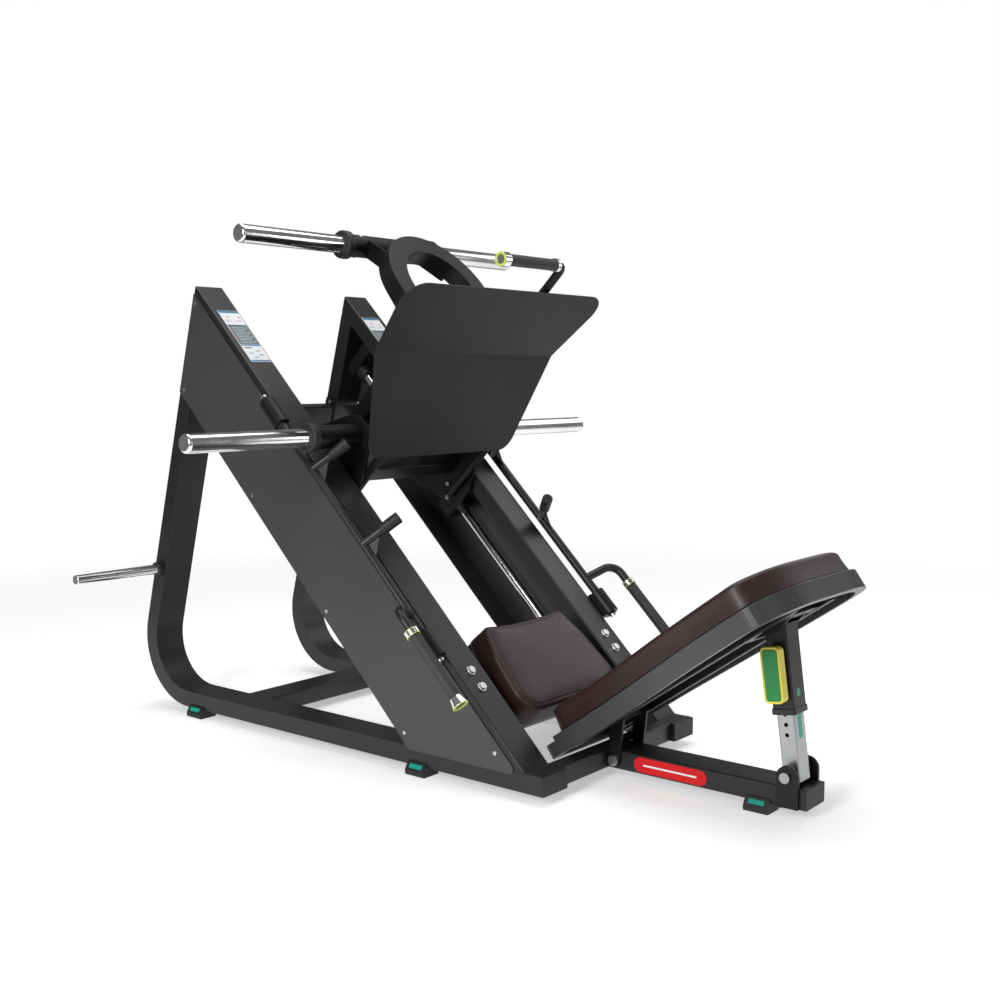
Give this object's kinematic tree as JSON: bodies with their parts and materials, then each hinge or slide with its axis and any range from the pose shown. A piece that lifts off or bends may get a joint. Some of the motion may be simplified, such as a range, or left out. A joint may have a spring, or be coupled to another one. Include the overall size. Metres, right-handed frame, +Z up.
{
  "type": "plate-loaded leg press machine",
  "caption": "Inclined plate-loaded leg press: carriage on guide rods with weight horns, safety stops, seat, reclining back pad on a telescopic post.",
  "frame": {"origin": "centre of the footprint's bounding box, on the floor", "axes": "+Z up, +X from the rear uprights towards the back pad, +Y towards the user's right"},
  "size_m": [2.1524, 1.66, 1.4544],
  "materials": {
    "frame_paint": "satin powder coat",
    "carriage_paint": "satin powder coat",
    "plate_paint": "matte textured powder coat",
    "chrome": "polished",
    "steel": "satin zinc",
    "rubber": "matte",
    "upholstery": "grained",
    "shell_plastic": "satin",
    "teal_plastic": "gloss",
    "yellow_plastic": "satin",
    "green_plastic": "satin"
  },
  "bodies": {
    "base_frame": {"side_frames": "frame_paint", "rail_beams": "frame_paint", "side_panels": "frame_paint", "front_cross_tube": "frame_paint", "rear_cross_tube": "frame_paint", "upper_cross_tube": "frame_paint", "spine_tube": "frame_paint", "post_ears": "carriage_paint", "end_caps": "rubber", "guide_rods": "chrome", "rod_blocks": "carriage_paint", "rod_bumpers": "rubber", "seat_pad": "upholstery", "seat_shell": "shell_plastic", "seat_bracket": "carriage_paint", "foot_pads": "rubber", "foot_inserts": "teal_plastic", "storage_pegs": "chrome", "peg_collars": "rubber", "shaft_bearings": "carriage_paint", "frame_bolts": "steel", "panel_screws": "steel", "recline_bolt": "steel", "post_bolt": "steel"},
    "carriage": {"carriage_plates": "carriage_paint", "carriage_cross_tube": "carriage_paint", "lower_hub_tube": "carriage_paint", "carriage_posts": "carriage_paint", "upper_hub_tube": "carriage_paint", "arch_tube": "carriage_paint", "foot_plate": "plate_paint", "plate_struts": "carriage_paint", "linear_bearings": "steel", "lower_horns": "chrome", "upper_horns": "chrome", "horn_collars": "rubber", "top_handle_bar": "carriage_paint", "top_grip": "rubber", "grip_rings": "chrome", "carriage_bolts": "steel"},
    "left_safety_stop": {"left_stop_shaft": "frame_paint", "left_stop_rollers": "rubber", "left_release_grip": "rubber", "left_release_trim": "chrome"},
    "right_safety_stop": {"right_stop_shaft": "frame_paint", "right_stop_rollers": "rubber", "right_release_grip": "rubber", "right_release_trim": "chrome"},
    "back_rest": {"back_frame": "carriage_paint", "back_shell": "shell_plastic", "back_pad": "upholstery"},
    "support_post": {"inner_post": "steel", "post_insert": "teal_plastic"},
    "post_sleeve_body": {"post_sleeve": "frame_paint", "sleeve_window": "teal_plastic"},
    "release_lever": {"lever_body": "yellow_plastic", "lever_face": "green_plastic"},
    "locking_pin": {"pop_pin": "steel"}
  },
  "joints": [
    {"name": "carriage_slide", "type": "slide", "parent": "base_frame", "child": "carriage", "axis": [-0.7071, 0, 0.7071], "range_m": [0, 0.31]},
    {"name": "left_stop_release", "type": "hinge", "parent": "base_frame", "child": "left_safety_stop", "pos_m": [-0.15028, -0.3915, 0.67797], "axis": [0.7071, 0, -0.7071], "range_deg": [-48, 0]},
    {"name": "right_stop_release", "type": "hinge", "parent": "base_frame", "child": "right_safety_stop", "pos_m": [-0.15028, 0.3915, 0.67797], "axis": [0.7071, 0, -0.7071], "range_deg": [0, 48]},
    {"name": "back_recline", "type": "hinge", "parent": "base_frame", "child": "back_rest", "pos_m": [0.50396, 0, 0.05], "axis": [0, -1, 0], "range_deg": [-8.87, 8.87]},
    {"name": "post_tilt", "type": "hinge", "parent": "base_frame", "child": "support_post", "pos_m": [0.98596, 0, 0.1], "axis": [0, -1, 0], "range_deg": [-9, 9]},
    {"name": "post_extend", "type": "slide", "parent": "support_post", "child": "post_sleeve_body", "axis": [-0.1357, 0, 0.9907], "range_m": [-0.0755, 0.0755]},
    {"name": "lever_squeeze", "type": "hinge", "parent": "post_sleeve_body", "child": "release_lever", "pos_m": [0.95366, -0.06, 0.3358], "axis": [0.9907, 0, 0.1357], "range_deg": [-12, 0]},
    {"name": "pin_pull", "type": "slide", "parent": "post_sleeve_body", "child": "locking_pin", "axis": [0, -1, 0], "range_m": [0, 0.0097]}
  ],
  "couplings": [
    {"joint": "post_tilt", "follows": "back_recline", "ratio": 0.9548},
    {"joint": "post_extend", "follows": "back_recline", "m_per_rad": 0.48433},
    {"joint": "pin_pull", "follows": "lever_squeeze", "m_per_rad": -0.04393}
  ]
}
